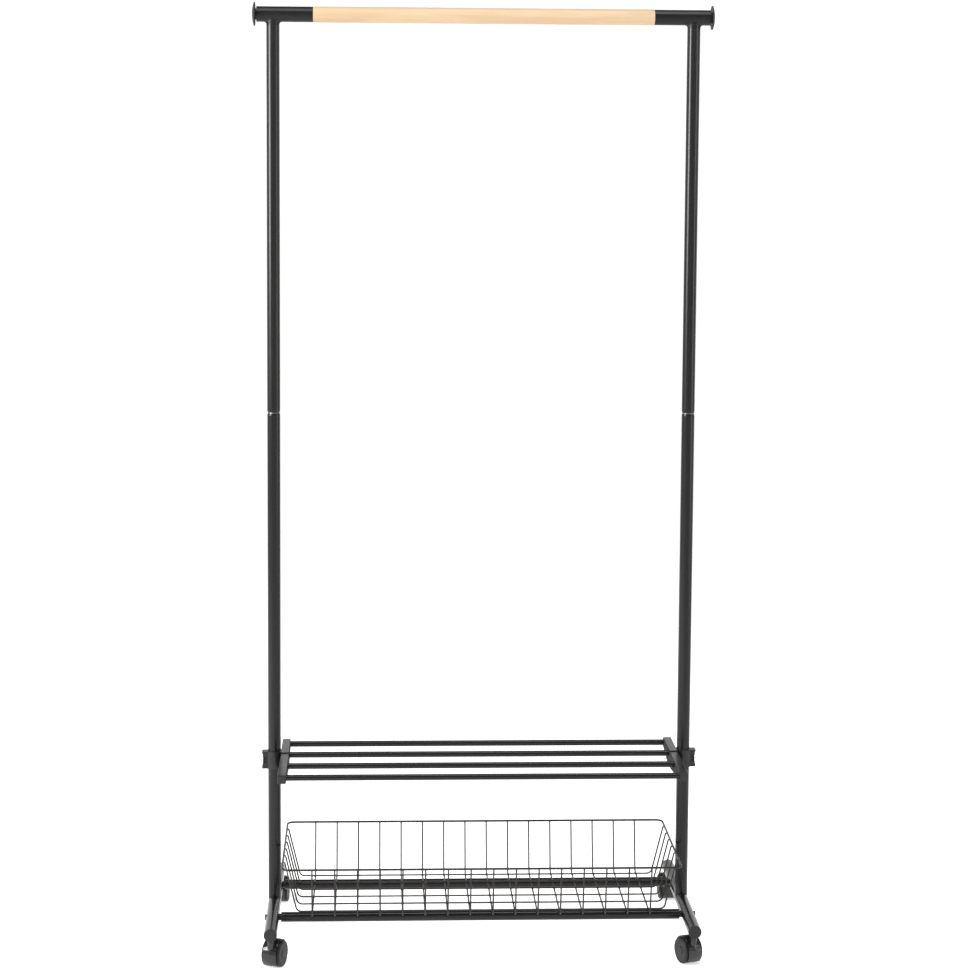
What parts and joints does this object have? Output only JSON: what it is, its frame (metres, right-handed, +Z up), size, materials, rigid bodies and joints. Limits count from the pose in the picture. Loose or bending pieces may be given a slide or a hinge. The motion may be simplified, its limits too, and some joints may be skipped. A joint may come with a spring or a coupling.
{
  "type": "rolling clothes rack",
  "caption": "Rolling clothes rack in black steel tube with a wooden hanging bar, a slatted rod shelf, a wire basket and twin-wheel casters.",
  "frame": {"origin": "on the floor, halfway between the two posts", "axes": "+Z up, +X to the right seen from the front, -Y towards the front"},
  "size_m": [0.8792, 0.4614, 1.813],
  "materials": {
    "black_tube": "satin",
    "black_wire": "satin",
    "black_fastener": "satin",
    "black_cap": "satin",
    "black_moulding": "matte",
    "caster_hood_plastic": "gloss",
    "caster_wheel_plastic": "satin",
    "bare_steel": "satin",
    "pale_wood": "matte"
  },
  "bodies": {
    "frame": {"bar_screws": "black_fastener", "bar_tee_left": "black_tube", "bar_tee_right": "black_tube", "base_bolts": "black_fastener", "caster_bushes": "black_cap", "crossbar_front": "black_tube", "crossbar_plugs": "black_cap", "crossbar_rear": "black_tube", "end_knob_left": "black_cap", "end_knob_right": "black_cap", "hanging_bar": "pale_wood", "leg_cap_front_left": "black_cap", "leg_cap_front_right": "black_cap", "leg_cap_rear_left": "black_cap", "leg_cap_rear_right": "black_cap", "leg_tube_left": "black_tube", "leg_tube_right": "black_tube", "lower_post_left": "black_tube", "lower_post_right": "black_tube", "post_bolts": "black_fastener", "post_inserts": "black_cap", "upper_post_left": "black_tube", "upper_post_right": "black_tube"},
    "shelf": {"clamp_nuts": "bare_steel", "clamp_screws": "black_fastener", "shelf_bracket_left": "black_moulding", "shelf_bracket_right": "black_moulding", "shelf_rod_1": "black_tube", "shelf_rod_2": "black_tube", "shelf_rod_3": "black_tube", "shelf_rod_4": "black_tube"},
    "basket": {"basket_cross_wires": "black_wire", "basket_long_wires": "black_wire", "basket_rim": "black_wire"},
    "caster_front_left": {"caster_front_left_axle": "bare_steel", "caster_front_left_hood": "caster_hood_plastic", "caster_front_left_stem": "bare_steel"},
    "caster_front_left_wheel_left": {"caster_front_left_wheel_left": "caster_wheel_plastic"},
    "caster_front_left_wheel_right": {"caster_front_left_wheel_right": "caster_wheel_plastic"},
    "caster_front_right": {"caster_front_right_axle": "bare_steel", "caster_front_right_hood": "caster_hood_plastic", "caster_front_right_stem": "bare_steel"},
    "caster_front_right_wheel_left": {"caster_front_right_wheel_left": "caster_wheel_plastic"},
    "caster_front_right_wheel_right": {"caster_front_right_wheel_right": "caster_wheel_plastic"},
    "caster_rear_left": {"caster_rear_left_axle": "bare_steel", "caster_rear_left_hood": "caster_hood_plastic", "caster_rear_left_stem": "bare_steel"},
    "caster_rear_left_wheel_left": {"caster_rear_left_wheel_left": "caster_wheel_plastic"},
    "caster_rear_left_wheel_right": {"caster_rear_left_wheel_right": "caster_wheel_plastic"},
    "caster_rear_right": {"caster_rear_right_axle": "bare_steel", "caster_rear_right_hood": "caster_hood_plastic", "caster_rear_right_stem": "bare_steel"},
    "caster_rear_right_wheel_left": {"caster_rear_right_wheel_left": "caster_wheel_plastic"},
    "caster_rear_right_wheel_right": {"caster_rear_right_wheel_right": "caster_wheel_plastic"}
  },
  "joints": [
    {"name": "shelf_height", "type": "slide", "parent": "frame", "child": "shelf", "axis": [0, 0, 1], "range_m": [-0.086, 0.65]},
    {"name": "basket_lift", "type": "slide", "parent": "frame", "child": "basket", "axis": [0, 0, 1], "range_m": [0, 0.06]},
    {"name": "caster_front_left_swivel", "type": "hinge", "parent": "frame", "child": "caster_front_left", "pos_m": [-0.4, -0.198, 0.06], "axis": [0, 0, 1], "continuous": true},
    {"name": "caster_front_left_wheel_left_spin", "type": "hinge", "parent": "caster_front_left", "child": "caster_front_left_wheel_left", "pos_m": [-0.39316, -0.17921, 0.025], "axis": [0.9397, -0.342, 0], "continuous": true},
    {"name": "caster_front_left_wheel_right_spin", "type": "hinge", "parent": "caster_front_left", "child": "caster_front_left_wheel_right", "pos_m": [-0.39316, -0.17921, 0.025], "axis": [0.9397, -0.342, 0], "continuous": true},
    {"name": "caster_front_right_swivel", "type": "hinge", "parent": "frame", "child": "caster_front_right", "pos_m": [0.4, -0.198, 0.06], "axis": [0, 0, 1], "continuous": true},
    {"name": "caster_front_right_wheel_left_spin", "type": "hinge", "parent": "caster_front_right", "child": "caster_front_right_wheel_left", "pos_m": [0.39251, -0.17946, 0.025], "axis": [0.9272, 0.3746, 0], "continuous": true},
    {"name": "caster_front_right_wheel_right_spin", "type": "hinge", "parent": "caster_front_right", "child": "caster_front_right_wheel_right", "pos_m": [0.39251, -0.17946, 0.025], "axis": [0.9272, 0.3746, 0], "continuous": true},
    {"name": "caster_rear_left_swivel", "type": "hinge", "parent": "frame", "child": "caster_rear_left", "pos_m": [-0.4, 0.198, 0.06], "axis": [0, 0, 1], "continuous": true},
    {"name": "caster_rear_left_wheel_left_spin", "type": "hinge", "parent": "caster_rear_left", "child": "caster_rear_left_wheel_left", "pos_m": [-0.39791, 0.21789, 0.025], "axis": [0.9945, -0.1045, 0], "continuous": true},
    {"name": "caster_rear_left_wheel_right_spin", "type": "hinge", "parent": "caster_rear_left", "child": "caster_rear_left_wheel_right", "pos_m": [-0.39791, 0.21789, 0.025], "axis": [0.9945, -0.1045, 0], "continuous": true},
    {"name": "caster_rear_right_swivel", "type": "hinge", "parent": "frame", "child": "caster_rear_right", "pos_m": [0.4, 0.198, 0.06], "axis": [0, 0, 1], "continuous": true},
    {"name": "caster_rear_right_wheel_left_spin", "type": "hinge", "parent": "caster_rear_right", "child": "caster_rear_right_wheel_left", "pos_m": [0.39895, 0.21797, 0.025], "axis": [0.9986, 0.0523, 0], "continuous": true},
    {"name": "caster_rear_right_wheel_right_spin", "type": "hinge", "parent": "caster_rear_right", "child": "caster_rear_right_wheel_right", "pos_m": [0.39895, 0.21797, 0.025], "axis": [0.9986, 0.0523, 0], "continuous": true}
  ]
}
